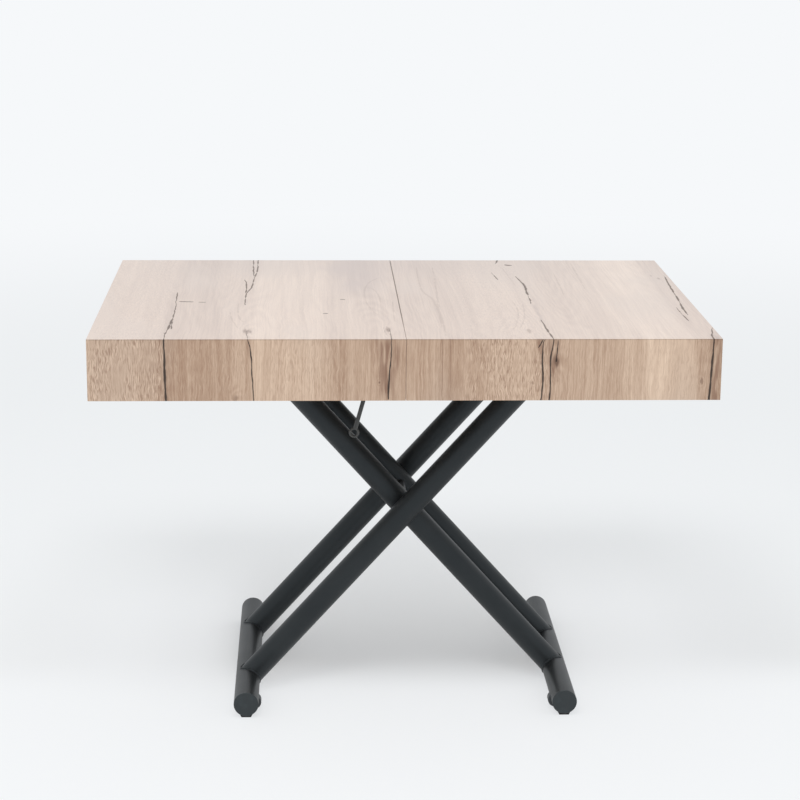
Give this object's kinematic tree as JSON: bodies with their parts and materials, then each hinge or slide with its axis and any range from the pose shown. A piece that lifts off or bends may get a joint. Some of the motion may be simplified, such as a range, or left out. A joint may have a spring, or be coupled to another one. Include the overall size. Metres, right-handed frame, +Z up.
{
  "type": "convertible coffee dining table",
  "caption": "Height-adjustable extending table: boxed oak top in two sliding halves with stored leaves, on a crossed tubular steel scissor base with a gas spring.",
  "frame": {"origin": "on the floor under the middle of the table top", "axes": "+X along the length of the top, +Y away from the front edge with the release lever, +Z up"},
  "size_m": [1.15, 0.8, 0.777],
  "materials": {
    "oak": "matt brushed pale oak",
    "leg_paint": "satin anthracite powder coat",
    "frame_paint": "satin black powder coat",
    "runner_zinc": "zinc plated",
    "bright_steel": "ground bright steel",
    "cap_plastic": "matt moulded",
    "roller_plastic": "matt moulded nylon",
    "pad_rubber": "matt rubber"
  },
  "bodies": {
    "left_rollers": {"left_roller_shaft": "bright_steel", "left_front_roller": "roller_plastic", "left_rear_roller": "roller_plastic"},
    "outer_frame": {"outer_front_leg": "leg_paint", "outer_rear_leg": "leg_paint", "left_foot": "leg_paint", "left_front_cap": "cap_plastic", "left_rear_cap": "cap_plastic", "left_front_pad": "pad_rubber", "left_rear_pad": "pad_rubber"},
    "inner_frame": {"inner_front_leg": "leg_paint", "inner_rear_leg": "leg_paint", "right_foot": "leg_paint", "right_front_cap": "cap_plastic", "right_rear_cap": "cap_plastic", "right_front_pad": "pad_rubber", "right_rear_pad": "pad_rubber", "inner_top_shaft": "bright_steel", "scissor_axle": "bright_steel"},
    "front_rail_roller": {"front_rail_roller": "roller_plastic"},
    "rear_rail_roller": {"rear_rail_roller": "roller_plastic"},
    "right_rollers": {"right_roller_shaft": "bright_steel", "right_front_roller": "roller_plastic", "right_rear_roller": "roller_plastic"},
    "sub_frame": {"front_side_beam": "frame_paint", "rear_side_beam": "frame_paint", "rail_crossbar": "frame_paint", "lever_crossbar": "frame_paint", "gas_crossbar": "frame_paint", "pivot_crossbar": "frame_paint", "left_end_plate": "frame_paint", "right_end_plate": "frame_paint", "front_rail": "runner_zinc", "rear_rail": "runner_zinc", "front_pivot_pin": "bright_steel", "rear_pivot_pin": "bright_steel", "gas_cylinder": "frame_paint", "front_leaf": "oak", "rear_leaf": "oak", "front_fixed_runner": "runner_zinc", "rear_fixed_runner": "runner_zinc"},
    "gas_rod": {"gas_rod": "bright_steel"},
    "release_lever": {"release_lever": "frame_paint"},
    "left_half": {"left_panel": "oak", "left_end_board": "oak", "left_front_board": "oak", "left_rear_board": "oak", "left_front_slide_bar": "runner_zinc", "left_rear_slide_bar": "runner_zinc"},
    "left_mid_runners": {"left_front_mid_runner": "runner_zinc", "left_rear_mid_runner": "runner_zinc"},
    "right_half": {"right_panel": "oak", "right_end_board": "oak", "right_front_board": "oak", "right_rear_board": "oak", "right_front_slide_bar": "runner_zinc", "right_rear_slide_bar": "runner_zinc"},
    "right_mid_runners": {"right_front_mid_runner": "runner_zinc", "right_rear_mid_runner": "runner_zinc"}
  },
  "joints": [
    {"name": "lift", "type": "hinge", "parent": "left_rollers", "child": "outer_frame", "pos_m": [-0.28378, 0, 0.0195], "axis": [0, 1, 0], "range_deg": [0, 32]},
    {"name": "scissor", "type": "hinge", "parent": "outer_frame", "child": "inner_frame", "pos_m": [0.011, 0, 0.37173], "axis": [0, 1, 0], "range_deg": [-64, 0]},
    {"name": "top_level", "type": "hinge", "parent": "outer_frame", "child": "sub_frame", "pos_m": [0.29676, 0, 0.6891], "axis": [0, 1, 0], "range_deg": [-32, 0]},
    {"name": "gas_rod_eye", "type": "hinge", "parent": "inner_frame", "child": "gas_rod", "pos_m": [-0.27476, 0, 0.6891], "axis": [0, 1, 0], "range_deg": [0, 32]},
    {"name": "front_rail_roller_spin", "type": "hinge", "parent": "inner_frame", "child": "front_rail_roller", "pos_m": [-0.27476, 0, 0.6891], "axis": [0, 1, 0], "continuous": true},
    {"name": "rear_rail_roller_spin", "type": "hinge", "parent": "inner_frame", "child": "rear_rail_roller", "pos_m": [-0.27476, 0, 0.6891], "axis": [0, 1, 0], "continuous": true},
    {"name": "right_rollers_spin", "type": "hinge", "parent": "inner_frame", "child": "right_rollers", "pos_m": [0.30578, 0, 0.0195], "axis": [0, 1, 0], "continuous": true},
    {"name": "release_lever_pull", "type": "hinge", "parent": "sub_frame", "child": "release_lever", "pos_m": [-0.05576, -0.25, 0.6891], "axis": [0, 1, 0], "range_deg": [0, 20], "stiffness_Nm_per_rad": 1, "springref_deg": -14.32},
    {"name": "left_half_slide", "type": "slide", "parent": "sub_frame", "child": "left_half", "axis": [-1, 0, 0], "range_m": [0, 0.374]},
    {"name": "left_mid_slide", "type": "slide", "parent": "sub_frame", "child": "left_mid_runners", "axis": [-1, 0, 0], "range_m": [0, 0.187]},
    {"name": "right_half_slide", "type": "slide", "parent": "sub_frame", "child": "right_half", "axis": [1, 0, 0], "range_m": [0, 0.374]},
    {"name": "right_mid_slide", "type": "slide", "parent": "sub_frame", "child": "right_mid_runners", "axis": [1, 0, 0], "range_m": [0, 0.187]}
  ],
  "couplings": [
    {"joint": "scissor", "follows": "lift", "ratio": -2},
    {"joint": "top_level", "follows": "lift", "ratio": -1},
    {"joint": "gas_rod_eye", "follows": "lift", "ratio": 1},
    {"joint": "left_mid_slide", "follows": "left_half_slide", "ratio": 0.5},
    {"joint": "right_mid_slide", "follows": "right_half_slide", "ratio": 0.5}
  ]
}
